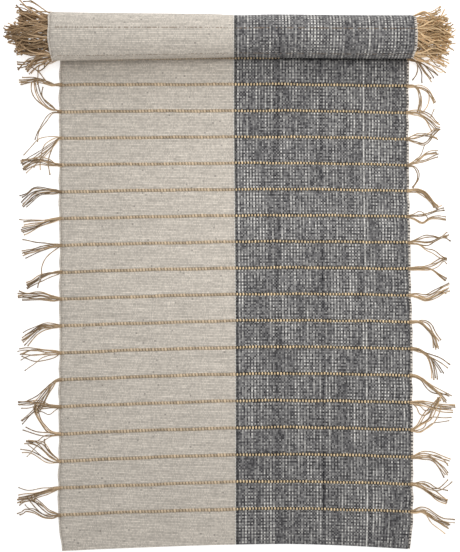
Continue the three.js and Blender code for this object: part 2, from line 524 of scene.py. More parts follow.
@dataclass(frozen=True)
class PlainWeave:
    """Spacing of warp ends and weft picks, and the relief that they make."""

    end_pitch: float
    pick_pitch: float

    def draw(self, graph: Graph) -> dict[str, Socket]:
        """Adds the weave to a graph.

        Args:
            graph: the material's graph.

        Returns:
            Sockets: across and along in metres, end and pick numbers, warp (1 where the warp
            end lies on top, else 0), height from 0 to 1, and rib (1 on the middle of a pick).
        """
        across, along = graph.weave()
        ends = graph.math("DIVIDE", across, self.end_pitch)
        picks = graph.math("DIVIDE", along, self.pick_pitch)
        end, pick = graph.math("FLOOR", ends), graph.math("FLOOR", picks)
        warp = graph.math("FLOORED_MODULO", graph.math("ADD", end, pick), 2.0)
        rounds = []
        for value in (ends, picks):
            centred = graph.math("MULTIPLY_ADD", graph.math("FRACT", value), 2.0, -1.0)
            rounds.append(graph.math("SUBTRACT", 1.0, graph.math("MULTIPLY", centred, centred)))
        crown = graph.math("POWER", graph.math("MULTIPLY", *rounds), 0.45)
        return {"across": across, "along": along, "end": end, "pick": pick, "warp": warp,
                "height": crown, "rib": rounds[1]}


@dataclass(frozen=True)
class InlayLines:
    """Where the jute inlays cross a cloth, for what the yarns next to them look like."""

    pitch: float
    margin: float
    count: int
    line_reach: float = 0.0013
    gap_chance: float = 0.55
    gap_depth: float = 0.60
    gap_colour: tuple[float, ...] = (0.21, 0.15, 0.10, 1.0)

    def beside(self, graph: Graph, along: Socket, reach: float) -> Socket:
        """1 within a reach of an inlay, else 0."""
        rows = graph.math("DIVIDE", graph.math("SUBTRACT", along, self.margin), self.pitch)
        nearest = graph.math("MAXIMUM", graph.math("ROUND", rows), 0.0)
        nearest = graph.math("MINIMUM", nearest, self.count - 1.0)
        return graph.within(rows, nearest, reach / self.pitch)

    def glint(self, graph: Graph, colour: Socket, cloth: dict[str, Socket]) -> Socket:
        """Shows dark gaps and a little jute between the yarns over an inlay on the back.

        Args:
            graph: the material's graph.
            colour: colour of the cloth.
            cloth: sockets of its weave.

        Returns:
            The colour with the gaps.
        """
        line = self.beside(graph, cloth["along"], self.line_reach)
        gap = graph.math("LESS_THAN", graph.chance(cloth["end"], 5.0), self.gap_chance)
        share = graph.product(line, graph.data("back"), gap, self.gap_depth)
        return graph.mix(share, colour, self.gap_colour)


@dataclass(frozen=True)
class CottonFinish:
    """Natural undyed cotton: close plain weave with uneven picks and a few dark flecks."""

    lines: InlayLines
    colour: tuple[float, ...] = (0.574, 0.524, 0.460, 1.0)
    weave: PlainWeave = PlainWeave(0.00225, 0.00345)
    seam_reach: float = 0.0022
    seam_turn: float = 0.0064
    loop_colour: tuple[float, ...] = (0.84, 0.82, 0.76, 1.0)
    fleck_width: float = 0.0036
    fleck_from: float = 0.9965
    fleck_colour: tuple[float, ...] = (0.13, 0.12, 0.11, 1.0)

    def material(self) -> bpy.types.Material:
        """Makes the material."""
        graph = Graph("natural_cotton")
        cloth = self.weave.draw(graph)
        across, along, end, pick = (cloth[k] for k in ("across", "along", "end", "pick"))
        slow = graph.noise((across, 13.0), (pick, 3.7))
        quick = graph.noise((across, 60.0), (pick, 5.3), 4.0)
        mottle = graph.noise((across, 30.0), (along, 30.0), 9.0, 3.0)
        # The last factor is painted shade: each pick is darkened towards its edges, a painted line of shade
        # between picks.
        factor = graph.product(graph.around(slow, 1.0, 0.52), graph.around(quick, 1.0, 0.38),
                               graph.around(graph.chance(end, pick), 1.0, 0.30),
                               graph.around(mottle, 1.0, 0.06),
                               graph.math("MULTIPLY_ADD", cloth["rib"], 0.40, 0.735))
        colour = graph.scaled(self.colour, factor)
        cell = graph.chance(graph.cell(across, self.fleck_width), pick, 2.0)
        fleck = graph.math("GREATER_THAN", cell, self.fleck_from)
        colour = graph.mix(graph.math("MULTIPLY", fleck, 0.5), colour, self.fleck_colour)
        colour = self.lines.glint(graph, self.seam(graph, colour, cloth), cloth)
        return graph.finish(colour, cloth["height"], 0.0004, 0.92)

    def seam(self, graph: Graph, colour: Socket, cloth: dict[str, Socket]) -> Socket:
        """Picks turn back round the last end at the seam as a row of paler loops."""
        near = graph.math("GREATER_THAN", cloth["across"], -self.seam_reach)
        turns = graph.math("FRACT", graph.math("DIVIDE", cloth["along"], self.seam_turn))
        loop = graph.math("MULTIPLY", near, graph.math("LESS_THAN", turns, 0.55))
        return graph.mix(graph.math("MULTIPLY", loop, 0.75), colour, self.loop_colour)


@dataclass(frozen=True)
class MelangeFinish:
    """Warp of black, grey and white marled yarns over a dark weft."""

    lines: InlayLines
    half_width: float
    weave: PlainWeave = PlainWeave(0.00328, 0.00345)
    dark_edge: float = 0.0072
    dark_seam: float = 0.0048
    gap_reach: float = 0.0034
    base: float = 0.372
    tones: tuple[tuple[float, tuple[float, ...]], ...] = (
        (0.0, (0.012, 0.012, 0.014, 1)), (0.25, (0.06, 0.058, 0.062, 1)),
        (0.5, (0.21, 0.205, 0.205, 1)), (0.75, (0.46, 0.45, 0.43, 1)), (1.0, (0.78, 0.76, 0.72, 1)))
    odd_ends: tuple[tuple[float, float, float], ...] = ((9.0, 0.965, 0.24), (12.0, 0.93, -0.16))

    def material(self) -> bpy.types.Material:
        """Makes the material."""
        graph = Graph("grey_melange")
        cloth = self.weave.draw(graph)
        across, along, end, pick = (cloth[k] for k in ("across", "along", "end", "pick"))
        column = graph.noise((end, 7.31), (along, 5.0), 1.0)
        streak = graph.noise((end, 3.17), (along, 42.0), 5.0, 2.0)
        marl = graph.math("ADD", graph.around(streak, 0.08, 0.62), graph.around(column, 0.0, 0.76))
        for seed, above, change in self.odd_ends:
            odd = graph.math("GREATER_THAN", graph.chance(end, seed), above)
            marl = graph.math("MULTIPLY_ADD", odd, change, marl)
        light = graph.math("SUBTRACT", 1.0, graph.math("FLOORED_MODULO", end, 2.0))
        zone = graph.noise((across, 34.0), (along, 7.0), 11.0)
        lift = graph.math("MAXIMUM", graph.around(zone, 0.22, 0.9), 0.05)
        raised = graph.product(cloth["warp"], lift)
        fleck = graph.around(graph.chance(end, pick, 3.0), 0.0, 0.34)
        tone = graph.math("MULTIPLY_ADD", light, graph.math("ADD", raised, marl),
                          graph.math("ADD", fleck, self.base))
        colour = graph.ramp(tone, self.tones)
        edge = graph.math("ADD", graph.math("LESS_THAN", across, self.dark_seam),
                          graph.math("GREATER_THAN", across, self.half_width - self.dark_edge))
        face = graph.math("SUBTRACT", 1.0, graph.data("back"))
        jute_gap = graph.product(self.lines.beside(graph, along, self.gap_reach), face)
        # The first factor is painted shade in the hollows between ends and picks; the second darkens the
        # bands along the seam and the outer edge, and the third the face beside each inlay.
        shade = graph.product(graph.math("MULTIPLY_ADD", cloth["height"], 0.45, 0.72),
                              graph.math("MULTIPLY_ADD", edge, -0.55, 1.0),
                              graph.math("MULTIPLY_ADD", jute_gap, -0.62, 1.0))
        colour = self.lines.glint(graph, graph.scaled(colour, shade), cloth)
        return graph.finish(colour, cloth["height"], 0.0008, 0.9)


@dataclass(frozen=True)
class PlainEdgeFinish:
    """Cotton edge, as pale as the cloth."""

    colour: tuple[float, ...] = (0.60, 0.55, 0.485, 1.0)
    pick_pitch: float = 0.0023

    def material(self) -> bpy.types.Material:
        """Makes the material."""
        graph = Graph("plain_selvedge")
        across, along = graph.weave()
        pick = graph.cell(along, self.pick_pitch)
        fuzz = graph.noise((across, 1500.0), (along, 900.0))
        factor = graph.product(graph.around(graph.chance(pick, 2.0), 1.0, 0.28),
                               graph.around(fuzz, 1.0, 0.4))
        return graph.finish(graph.scaled(self.colour, factor), fuzz, 0.0003, 0.92)


@dataclass(frozen=True)
class SpeckledEdgeFinish:
    """Cream edge cord through which a black end shows as a row of specks."""

    inner: float
    outer: float
    light: tuple[float, ...] = (0.72, 0.66, 0.59, 1.0)
    dark: tuple[float, ...] = (0.022, 0.020, 0.024, 1.0)
    speck_pitch: float = 0.0066
    speck_place: float = 0.40
    speck_reach: float = 0.32
    ply_pitch: float = 0.0017

    def material(self) -> bpy.types.Material:
        """Makes the material."""
        graph = Graph("speckled_selvedge")
        across, along = graph.weave()
        turns = graph.math("DIVIDE", along, self.speck_pitch)
        turn = graph.math("FLOOR", turns)
        middle = graph.around(graph.chance(turn, 4.0), 0.5, 0.3)
        size = graph.around(graph.chance(turn, 7.0), 0.20, 0.24)
        width = self.outer - self.inner
        band = graph.within(across, self.inner + self.speck_place * width, self.speck_reach * width)
        speck = graph.math("MULTIPLY", band, graph.within(graph.math("FRACT", turns), middle, size))
        slant = graph.math("MULTIPLY_ADD", across, 0.7, along)
        ply = graph.cell(slant, self.ply_pitch)
        fuzz = graph.noise((across, 1500.0), (along, 900.0))
        factor = graph.product(graph.around(graph.chance(ply, 2.0), 1.0, 0.4),
                               graph.around(fuzz, 1.0, 0.4))
        colour = graph.mix(graph.math("MULTIPLY", speck, 0.93), graph.scaled(self.light, factor), self.dark)
        return graph.finish(colour, fuzz, 0.0003, 0.92)


@dataclass(frozen=True)
class JuteFinish:
    """Coarse jute yarn, darker between fibres: dull brown painted as shade in the hollows, golden painted as
    a highlight on the crowns.
    """

    name: str
    hollow: tuple[float, ...]
    crown: tuple[float, ...]
    grey_hollow: tuple[float, ...] = (0.05, 0.034, 0.02, 1.0)
    grey_crown: tuple[float, ...] = (0.98, 0.76, 0.47, 1.0)

    def material(self) -> bpy.types.Material:
        """Makes the material; bulge, tone and dark_warp are stored at the points of the yarns."""
        graph = Graph(self.name)
        across, along = graph.weave()
        tone = graph.data("tone")
        fibre = graph.noise((across, 600.0), (along, 2600.0), graph.math("MULTIPLY", tone, 40.0), 2.0)
        slub = graph.noise((across, 120.0), (tone, 57.0))
        share = graph.math("MULTIPLY", graph.data("bulge"), graph.around(slub, 1.0, 1.0))
        dark_warp = graph.data("dark_warp")
        # The share runs from hollow to crown. On the inlays it is the bead's crest, so the valleys between
        # beads get painted shade and the crowns a painted highlight; on the melange side the dark is the
        # black warp that crosses the jute. On the tassels it is a random share along each yarn, painted
        # shade and light at random.
        colour = graph.mix(share, graph.mix(dark_warp, self.hollow, self.grey_hollow),
                           graph.mix(dark_warp, self.crown, self.grey_crown))
        factor = graph.product(graph.around(fibre, 1.0, 0.8), graph.around(tone, 1.0, 0.6))
        return graph.finish(graph.scaled(colour, factor), fibre, 0.0003, 0.85)


# ---------------------------------------------------------------- pieces of the cloth


@dataclass
class ClothField:
    """One woven half of the rug: a closed strip from the front edge to the core of the roll."""

    shape: ClothShape
    name: str
    node: str
    slot: str
    columns: int = 40

    def build(self, material: bpy.types.Material) -> bpy.types.Object:
        """Makes the half between the two sides of its packed band.

        Args:
            material: the finish of the cloth.

        Returns:
            The new piece.
        """
        low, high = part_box(self.node)
        along = self.shape.stations()
        across = np.linspace(low.x, high.x, self.columns)
        ring_across = np.concatenate([across, across[::-1]])
        back = np.repeat([0.0, 1.0], self.columns)
        rim = self.shape.rim_share(along)[:, None]
        half = self.shape.thickness / 2
        groove = self.shape.groove_share(along)
        ridge = self.shape.ridge * groove * smooth(along, self.shape.flat + 0.01, self.shape.flat + 0.03)
        face = half * rim - self.shape.groove_depth * groove[:, None]
        height = half + np.where(back[None, :] > 0, -half * rim - ridge[:, None], face)
        rings = self.shape.place(ring_across[None, :], along[:, None], height)
        wrapped = np.append(ring_across, ring_across[0])
        weave = np.stack(np.broadcast_arrays(wrapped[None, :], along[:, None]), axis=-1)
        mesh = PieceMesh(self.name)
        mesh.add_tube(rings, weave, self.layout(along, across), True, back=back[None, :])
        return mesh.build(material, self.slot, self.node)

    def layout(self, along: np.ndarray, across: np.ndarray) -> np.ndarray:
        """Unrolls the strip into four columns: two for its back and two for its face.

        Args:
            along: stations along the cloth.
            across: places across one face.

        Returns:
            Corners of each quad in the unit square.
        """
        columns = len(across)
        share = (across - across[0]) / (across[-1] - across[0])
        ring = np.concatenate([share, share[::-1]])
        side = np.repeat([0.0, 1.0], columns)
        fold = self.shape.length / 2
        second = along[:-1] >= fold
        corners = np.zeros((len(along) - 1, 2 * columns, 4, 2))
        for corner, (down, step) in enumerate(((0, 0), (0, 1), (1, 1), (1, 0))):
            at = (np.arange(2 * columns) + step) % (2 * columns)
            start = (2 * side + second[:, None]) * 0.25
            corners[..., corner, 0] = start + 0.004 + 0.242 * ring[at][None, :]
            reach = along[down:len(along) - 1 + down]
            corners[..., corner, 1] = 0.004 + 0.99 * np.clip((reach - second * fold) / fold, 0, 1)[:, None]
        return corners


@dataclass
class Selvedge:
    """Rounded edge cord along one side, bulging at every turn of the weft."""

    shape: ClothShape
    side: Side
    name: str
    node: str
    slot: str
    ring: int = 10
    bulge: float = 0.16
    pick_pitch: float = 0.0031
    bake_rows: int = 40

    def build(self, material: bpy.types.Material) -> bpy.types.Object:
        """Makes the edge cord.

        Args:
            material: the finish of the cord.

        Returns:
            The new piece.
        """
        low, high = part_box(self.node)
        along = np.arange(0.0004, self.shape.length, self.pick_pitch / 4)
        middle, half = (low.x + high.x) / 2, (high.x - low.x) / 2
        angle = -np.arange(self.ring) * 2 * math.pi / self.ring
        wave = 1 - self.bulge * (0.5 + 0.5 * np.cos(2 * math.pi * along / self.pick_pitch))
        outward = np.cos(angle) * self.side.value
        reach = np.where(outward > 0, wave[:, None], 1.0) * outward[None, :] * self.side.value
        across = middle + half * reach
        rim = self.shape.rim_share(along)[:, None]
        height = self.shape.thickness / 2 * (1 + np.sin(angle)[None, :] * wave[:, None] * rim)
        rings = self.shape.place(across, along[:, None], height)
        weave = np.stack(np.broadcast_arrays(
            np.append(across, across[:, :1], axis=1), along[:, None]), axis=-1)
        mesh = PieceMesh(self.name)
        mesh.add_tube(rings, weave, self.layout(len(along)))
        return mesh.build(material, self.slot, self.node)

    def layout(self, stations: int) -> np.ndarray:
        """Lays the cord out as rows of the unit square."""
        return row_layout(stations, self.ring, self.bake_rows)


def row_layout(stations: int, ring: int, rows: int) -> np.ndarray:
    """Lays a long tube out as rows of the unit square.

    Args:
        stations: rings in the tube.
        ring: points in a ring.
        rows: rows that the tube is cut into.

    Returns:
        Corners of each quad in the unit square.
    """
    index = np.arange(stations - 1)
    per_row = math.ceil((stations - 1) / rows)
    row, start = index // per_row, index % per_row
    corners = np.zeros((stations - 1, ring, 4, 2))
    for corner, (down, step) in enumerate(((0, 0), (0, 1), (1, 1), (1, 0))):
        corners[..., corner, 0] = ((start + down) / per_row * 0.99 + 0.005)[:, None]
        share = (np.arange(ring) + step) / ring
        corners[..., corner, 1] = (row[:, None] + 0.06 + 0.88 * share[None, :]) / rows
    return corners


@dataclass
class JuteInlay:
    """Jute bundle that runs across both halves, pinched into beads by the warp that crosses it."""

    shape: ClothShape
    row: int
    half_width: float = 0.0036
    proud: float = 0.0016
    sunk: float = 0.0010
    bead: float = 0.0066
    ring: int = 8
    flat_step: float = 0.00056
    rolled_step: float = 0.0018
    crease_shift: float = 0.0065
    first_seed: int = 700
    bake_rows: int = 10

    @property
    def along(self) -> float:
        """Distance along the cloth."""
        return self.shape.inlay_along(self.row)

    @property
    def node(self) -> str:
        """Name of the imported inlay."""
        return f"jute_inlay_{self.row + 1:02d}"

    def build(self, material: bpy.types.Material) -> bpy.types.Object:
        """Makes the bundle between the selvedges.

        Args:
            material: the finish of the jute.

        Returns:
            The new piece.
        """
        rolled = self.row >= self.shape.flat_row_count
        reach = self.shape.half_width + 0.001
        across = np.arange(-reach, reach, self.rolled_step if rolled else self.flat_step)
        rng = np.random.default_rng(self.first_seed + self.row)
        cream = across < 0
        angle = np.arange(self.ring) * 2 * math.pi / self.ring
        twist = np.where(cream, 0.10, 0.0)[:, None] * np.cos(angle)[None, :]
        count = (across / self.bead)[:, None] + twist
        draws = 2000
        number = np.floor(across / self.bead).astype(int) % draws
        uneven = rng.uniform(0.86, 1.10, draws)[number][:, None]
        shift = np.where(cream, 0.0, rng.normal(0, 0.00025, draws)[number])
        arch = np.abs(np.sin(math.pi * count))
        loop = np.clip((arch - 0.50) / 0.50, 0, 1) ** 0.6
        ends = smooth(np.abs(across), self.shape.half_width - 0.009, self.shape.half_width - 0.006)[:, None]
        crest = np.where(cream[:, None], arch**0.7, loop)
        crest = crest + (0.75 - crest) * ends * np.where(cream[:, None], 1.0, 0.0)
        swell = np.where(cream[:, None], 0.72 + 0.22 * crest, 0.26 + 0.56 * crest) * uneven
        lift = np.where(cream[:, None], 0.55 + 0.45 * crest, -0.9 + 1.9 * crest) * self.proud
        hidden = self.crease_shift * smooth(across, 0.07, 0.14) * (self.row == self.shape.flat_row_count - 1)
        sway = (hidden + 0.0005 * np.sin(across * 47 + self.row)
                + 0.0004 * np.sin(across * 19 + 2 * self.row) + shift)
        along = self.along + sway[:, None] + self.half_width * swell * np.cos(angle)[None, :]
        up = np.sin(angle)[None, :]
        height = self.shape.thickness + np.where(up > 0, lift * up, self.sunk * up)
        rings = self.shape.place(across[:, None], along, height)
        weave = np.stack([np.broadcast_to(across[:, None], (len(across), self.ring + 1)),
                          np.append(along, along[:, :1], axis=1)], axis=-1)
        mesh = PieceMesh(f"jute_bundle_{self.row + 1:02d}")
        # bulge carries the bead crest to the jute finish, which paints shade in the valleys between beads
        # and a highlight on their crowns.
        mesh.add_tube(rings, weave, row_layout(len(across), self.ring, self.bake_rows), bulge=crest,
                      tone=np.clip(2.2 * (uneven - 0.86), 0, 1),
                      dark_warp=np.where(cream, 0.0, 1.0)[:, None])
        return mesh.build(material, "jute", self.node)


# ---------------------------------------------------------------- tassels


@dataclass(frozen=True)
class Lock:
    """Some yarns of a tassel that lie together.

    The course is in millimetres from the point where they leave the rug: away from the rug, then
    towards its front edge. The spread is how far apart the outer yarns end, also in millimetres.
    """

    yarns: int
    spread: float
    course: tuple[tuple[float, float], ...]


NATURAL_SIDE_LOCKS: tuple[tuple[Lock, ...], ...] = (
    (Lock(3, 6, ((18, -8), (35, -21), (50, -30), (68, -40))),
     Lock(2, 6, ((18, 1), (35, -8), (52, -24), (62, -36))),
     Lock(2, 4, ((14, 7), (29, 6), (50, -6), (68, -9), (76, -3), (88, 1))),
     Lock(1, 0, ((29, -2), (50, -12), (63, -13), (74, -26)))),
    (Lock(1, 0, ((29, 1), (61, 4), (90, -2))), Lock(4, 8, ((24, 7), (50, 14), (71, 18), (89, 22))),
     Lock(3, 7, ((24, 11), (44, 18), (54, 25), (71, 27), (86, 35)))),
    (Lock(1, 0, ((14, -15), (27, -32), (31, -48))),
     Lock(2, 4, ((18, -19), (33, -36), (54, -41), (71, -43))),
     Lock(3, 6, ((18, -9), (39, -28), (56, -38), (75, -41))),
     Lock(1, 0, ((18, 0), (39, -13), (61, -30), (69, -39))),
     Lock(2, 7, ((22, 1), (44, -11), (61, -19), (84, -22)))),
    (Lock(4, 8, ((20, -4), (35, -20), (46, -42), (48, -53), (44, -66))),
     Lock(2, 8, ((29, 1), (50, -2), (76, -14))), Lock(1, 0, ((29, 5), (46, 14), (62, 21))),
     Lock(1, 0, ((14, 3), (29, 14), (50, 29), (69, 49)))),
    (Lock(3, 6, ((18, -3), (40, -9), (65, -9), (88, -8))),
     Lock(2, 6, ((29, -2), (48, -5), (65, -1), (86, 1))),
     Lock(3, 6, ((25, 1), (42, 2), (54, 10), (82, 35))),
     Lock(1, 0, ((8, 7), (22, 16), (39, 10), (52, 12)))),
    (Lock(5, 12, ((13, 8), (26, 29), (39, 50), (51, 69))),
     Lock(2, 5, ((13, 5), (32, 22), (47, 37), (67, 49)))),
    (Lock(2, 4, ((17, -5), (43, -7), (68, -8), (91, -4))), Lock(2, 3, ((28, -3), (60, -6), (85, 6))),
     Lock(1, 0, ((28, 1), (55, 4), (84, 3))), Lock(1, 0, ((17, 4), (50, 3), (88, 17))),
     Lock(1, 0, ((14, 11), (27, 16), (50, 17), (70, 12), (87, 6))),
     Lock(1, 0, ((28, 6), (40, 11), (54, 24), (77, 42)))),
    (Lock(2, 5, ((18, -4), (30, -5), (44, 0), (66, 11), (79, 21))),
     Lock(4, 6, ((22, 1), (40, 4), (55, 14), (81, 32))),
     Lock(2, 5, ((27, 5), (44, 15), (61, 30), (74, 44)))),
    (Lock(1, 0, ((18, -8), (33, -13), (50, -14), (67, -12), (87, -19))),
     Lock(4, 8, ((18, -3), (37, -8), (56, -9), (73, -8), (90, -6))),
     Lock(3, 5, ((18, 3), (40, 1), (61, 0), (84, -1)))),
    (Lock(2, 5, ((20, 2), (42, 9), (57, 18), (76, 25))),
     Lock(4, 5, ((20, 3), (38, 9), (57, 22), (72, 34))),
     Lock(1, 0, ((20, 10), (38, 20), (57, 29), (74, 38)))),
    (Lock(1, 0, ((22, -3), (48, -8), (81, -12))), Lock(5, 9, ((18, 2), (40, 5), (61, 12), (81, 18))),
     Lock(1, 0, ((29, 9), (50, 15), (77, 30))),
     Lock(1, 0, ((18, 13), (31, 28), (37, 47), (38, 68), (46, 82), (48, 97)))),
    (Lock(1, 0, ((18, 2), (50, 3), (72, 4), (87, 2))), Lock(2, 5, ((29, 3), (55, 8), (81, 10))),
     Lock(3, 6, ((29, 8), (54, 16), (83, 25))), Lock(2, 4, ((35, 13), (61, 25), (81, 34)))),
    (Lock(2, 4, ((19, -6), (40, -8), (55, -7), (69, 3), (86, 11))),
     Lock(4, 9, ((19, -2), (40, -1), (55, 4), (70, 19), (81, 31))),
     Lock(2, 4, ((19, 4), (40, 6), (57, 17), (73, 32)))),
    (Lock(2, 3, ((12, -3), (34, -10), (60, -11), (86, -11))),
     Lock(5, 17, ((12, -2), (25, -6), (42, -10), (60, -6), (82, 5))),
     Lock(1, 0, ((25, -6), (42, -9), (57, 9)))),
    (Lock(1, 0, ((20, -3), (42, 2), (56, 15), (78, 37))),
     Lock(1, 0, ((10, 2), (27, 9), (35, 19), (38, 34), (39, 50), (39, 70))),
     Lock(1, 0, ((14, 17), (20, 38), (23, 55), (22, 70), (19, 84))),
     Lock(5, 20, ((12, 11), (29, 28), (46, 42), (60, 50), (80, 66)))),
    (Lock(2, 5, ((17, -4), (37, -17), (50, -32), (56, -49), (56, -66))),
     Lock(2, 6, ((17, -9), (35, -27), (46, -45), (50, -68))),
     Lock(1, 0, ((20, -16), (35, -34), (35, -55))), Lock(2, 4, ((15, 2), (31, 21), (44, 43), (49, 66)))),
    (Lock(5, 7, ((16, 1), (31, -6), (46, -10), (63, -9), (89, -8))),
     Lock(1, 0, ((31, -3), (54, -16), (86, -17))), Lock(1, 0, ((42, -10), (63, -7), (89, 2))),
     Lock(1, 0, ((20, -2), (31, -13), (42, -26), (54, -34), (68, -41)))),
    (Lock(1, 0, ((24, 6), (42, 15), (47, 30), (47, 62))), Lock(1, 0, ((26, 1), (31, 8), (32, 24))),
     Lock(5, 16, ((20, 4), (45, 8), (62, 22), (70, 32)))),
)

MELANGE_SIDE_LOCKS: tuple[tuple[Lock, ...], ...] = (
    (Lock(2, 5, ((15, -6), (28, -4), (47, 7), (66, 17), (90, 22))),
     Lock(5, 7, ((15, 0), (28, 3), (45, 16), (62, 25), (79, 32))),
     Lock(1, 0, ((23, 4), (40, 24), (55, 38), (71, 51)))),
    (Lock(2, 7, ((17, 2), (34, 9), (53, 11), (68, 2), (82, -10))),
     Lock(1, 0, ((17, -4), (34, -2), (51, 7), (82, 17))),
     Lock(4, 7, ((17, 6), (34, 17), (55, 31), (77, 40))),
     Lock(1, 0, ((26, 0), (47, 13), (60, 26), (78, 38)))),
    (Lock(3, 12, ((17, -6), (38, -5), (60, 3), (81, 12))), Lock(1, 0, ((38, -4), (60, 4), (77, 23))),
     Lock(4, 9, ((17, 1), (38, 4), (53, 17), (64, 31), (71, 42)))),
    (Lock(2, 5, ((13, -11), (26, -34), (40, -49), (51, -60), (63, -67))),
     Lock(3, 6, ((17, -11), (34, -23), (45, -41), (51, -55), (57, -74))),
     Lock(1, 0, ((17, 2), (38, -12), (60, -15), (82, -21))),
     Lock(1, 0, ((21, -4), (34, -23), (60, -25), (84, -27))),
     Lock(1, 0, ((17, 4), (38, -9), (53, -32), (62, -53)))),
    (Lock(3, 5, ((21, -1), (43, 1), (66, 7), (93, 8))),
     Lock(3, 6, ((17, 3), (38, 10), (60, 15), (88, 18))),
     Lock(1, 0, ((9, 12), (17, 24), (28, 25), (42, 17))),
     Lock(1, 0, ((15, 7), (27, 17), (45, 9), (61, -7)))),
    (Lock(5, 5, ((13, 4), (32, 17), (51, 33), (64, 47), (73, 59))),
     Lock(1, 0, ((17, 9), (26, 23), (38, 34), (55, 38), (79, 38))),
     Lock(2, 4, ((17, 4), (38, 19), (60, 34), (84, 45)))),
    (Lock(4, 9, ((17, 4), (32, 16), (40, 33), (45, 50), (47, 68))),
     Lock(2, 3, ((17, 3), (34, 18), (51, 35), (68, 57))),
     Lock(2, 8, ((21, 7), (43, 18), (64, 27), (82, 40)))),
    (Lock(5, 5, ((17, 1), (30, 10), (43, 28), (51, 47), (55, 60))),
     Lock(1, 0, ((17, 3), (29, 12), (40, 28), (46, 57))),
     Lock(2, 5, ((21, -2), (38, 6), (49, 23), (62, 45)))),
    (Lock(3, 5, ((15, -2), (34, 0), (53, -9), (72, -20), (84, -25))),
     Lock(4, 6, ((13, 4), (30, 11), (49, 4), (66, -6), (84, -12))),
     Lock(1, 0, ((15, 2), (34, 6), (60, -7), (80, 0)))),
    (Lock(3, 5, ((21, -3), (38, -7), (51, -12), (68, -20), (82, -20))),
     Lock(4, 4, ((17, 1), (34, -1), (47, 3), (64, 16), (80, 26))),
     Lock(1, 0, ((36, 2), (57, -3), (70, -16), (78, -9)))),
    (Lock(2, 4, ((17, -7), (32, -14), (49, -14), (64, -10), (82, -21))),
     Lock(2, 3, ((17, -3), (34, -1), (51, -3), (68, -11), (84, -14))),
     Lock(1, 0, ((21, 3), (38, 5), (55, -3), (72, -10), (88, -3))),
     Lock(2, 5, ((17, 3), (32, 14), (49, 20), (66, 31), (82, 37)))),
    (Lock(1, 0, ((13, -7), (23, -10), (34, -3), (40, 5), (36, 13))),
     Lock(3, 4, ((17, -1), (34, -5), (51, -10), (68, -14), (80, -16))),
     Lock(3, 5, ((13, 5), (28, 13), (43, 5), (60, 2), (80, 4)))),
    (Lock(5, 6, ((17, -2), (32, 4), (45, 17), (55, 30), (64, 37))),
     Lock(1, 0, ((17, -4), (32, 0), (47, 17), (60, 32), (71, 29))),
     Lock(2, 3, ((21, 4), (36, 13), (47, 26), (59, 42)))),
    (Lock(3, 5, ((17, -11), (34, -23), (49, -28), (63, -30))),
     Lock(2, 4, ((21, -8), (43, -13), (65, -23))), Lock(1, 0, ((17, -15), (28, -30), (36, -48))),
     Lock(2, 3, ((9, 2), (19, 15), (19, 30), (9, 45), (3, 50)))),
    (Lock(2, 3, ((15, -9), (30, -10), (47, -6), (68, 2))),
     Lock(2, 4, ((17, -2), (34, -9), (49, -15), (64, -25))),
     Lock(3, 5, ((13, 6), (30, 10), (43, 3), (55, -12), (66, -25)))),
    (Lock(2, 4, ((17, -6), (32, -2), (47, 7), (60, 20), (69, 25))),
     Lock(3, 6, ((17, 0), (34, 9), (49, 22), (58, 33), (69, 36))),
     Lock(1, 0, ((21, 7), (38, 16), (47, 33), (49, 43))),
     Lock(1, 0, ((21, -1), (38, 4), (47, 9), (51, -1), (58, -12)))),
    (Lock(4, 5, ((12, 1), (21, 10), (25, 25), (22, 44), (20, 57))),
     Lock(1, 0, ((21, 1), (38, 9), (43, 26), (40, 43), (31, 56))),
     Lock(3, 5, ((21, 0), (38, 8), (49, 23), (58, 40)))),
    (Lock(1, 0, ((13, 4), (17, 19), (15, 36), (4, 49))), Lock(1, 0, ((17, 8), (26, 32), (29, 56))),
     Lock(1, 0, ((20, 8), (36, 32), (50, 54))), Lock(2, 5, ((24, 9), (38, 26), (52, 44))),
     Lock(2, 2, ((28, 10), (45, 21), (63, 37)))),
)


def smooth_course(points: np.ndarray, steps: int) -> np.ndarray:
    """Even steps along the rounded curve through a few points.

    Args:
        points: points to pass through, one row each.
        steps: points wanted.

    Returns:
        Points of the curve.
    """
    before = np.vstack([2 * points[0] - points[1], points[:-1]])
    after = np.vstack([points[1:], 2 * points[-1] - points[-2]])
    slope = (after - before) / 2
    fine_steps = 16
    share = np.linspace(0, 1, fine_steps, endpoint=False)[:, None]
    square, cube = share**2, share**3
    parts = [(2 * cube - 3 * square + 1) * points[i] + (cube - 2 * square + share) * slope[i]
             + (3 * square - 2 * cube) * points[i + 1] + (cube - square) * slope[i + 1]
             for i in range(len(points) - 1)]
    curve = np.vstack([*parts, points[-1:]])
    run = np.concatenate([[0], np.cumsum(np.linalg.norm(np.diff(curve, axis=0), axis=1))])
    even = np.linspace(0, run[-1], steps)
    return np.stack([np.interp(even, run, curve[:, axis]) for axis in range(points.shape[1])], axis=-1)


